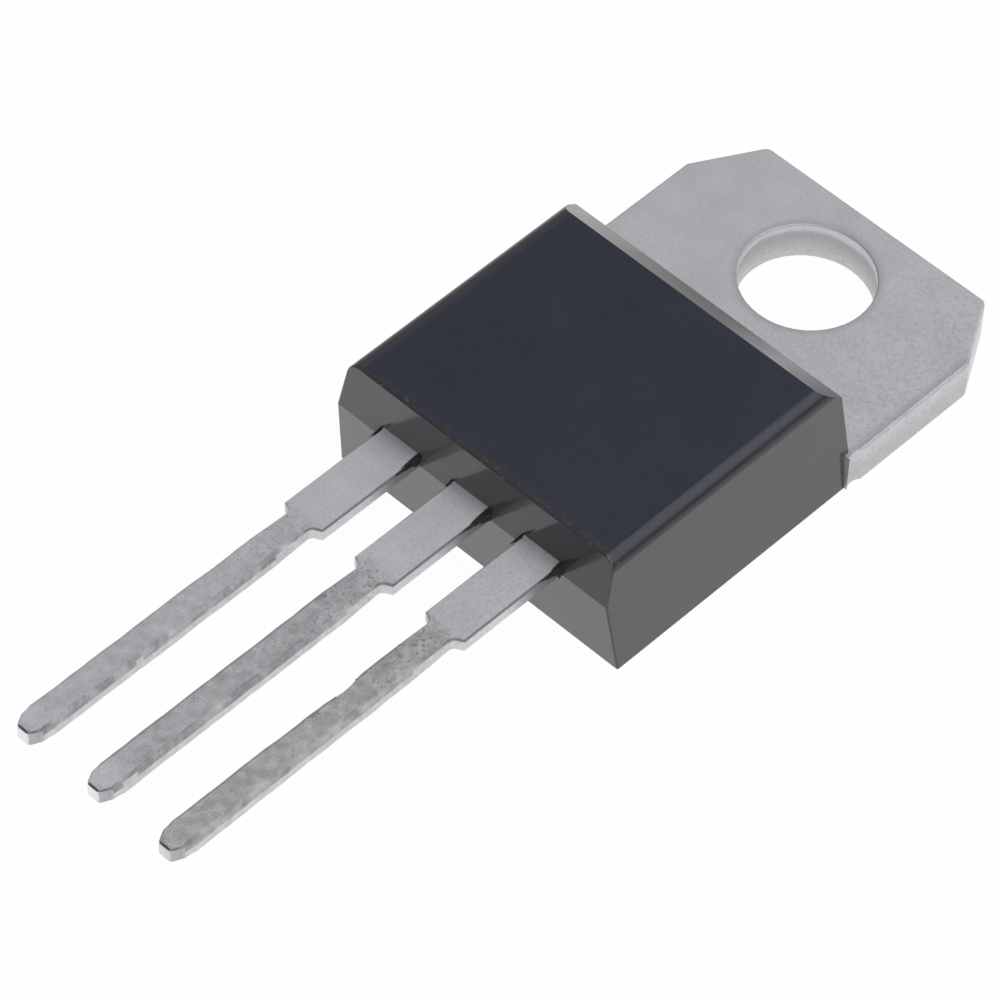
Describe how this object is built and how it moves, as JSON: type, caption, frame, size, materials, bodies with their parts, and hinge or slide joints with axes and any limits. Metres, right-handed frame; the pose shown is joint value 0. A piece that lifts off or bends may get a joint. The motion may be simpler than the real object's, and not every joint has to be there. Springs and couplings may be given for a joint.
{
  "type": "thyristor",
  "caption": "Three-lead power thyristor: flat moulded resin block on a tinned copper tab with a screw hole and straight stepped leads.",
  "frame": {"origin": "axis of the mounting hole, in the plane of the tab's back face", "axes": "+Z from the back face towards the resin, +Y from the leads to the free end of the tab, +X along the row of leads from the cathode to the gate"},
  "size_m": [0.0102, 0.0293, 0.0041],
  "materials": {
    "moulding_resin": "semi-matte epoxy moulding compound, near-black with a blue cast",
    "tinned_copper": "matte tin plate over copper",
    "die_attach_solder": "dull reflowed solder",
    "metallised_silicon": "polished silicon with glass-filled moats",
    "aluminium_wire": "bright drawn wire"
  },
  "bodies": {
    "root": {"moulded_body": "moulding_resin", "mounting_tab": "tinned_copper", "cathode_lead": "tinned_copper", "gate_lead": "tinned_copper", "die_solder": "die_attach_solder", "thyristor_die": "metallised_silicon", "cathode_wire": "aluminium_wire", "gate_wire": "aluminium_wire"}
  },
  "joints": []
}
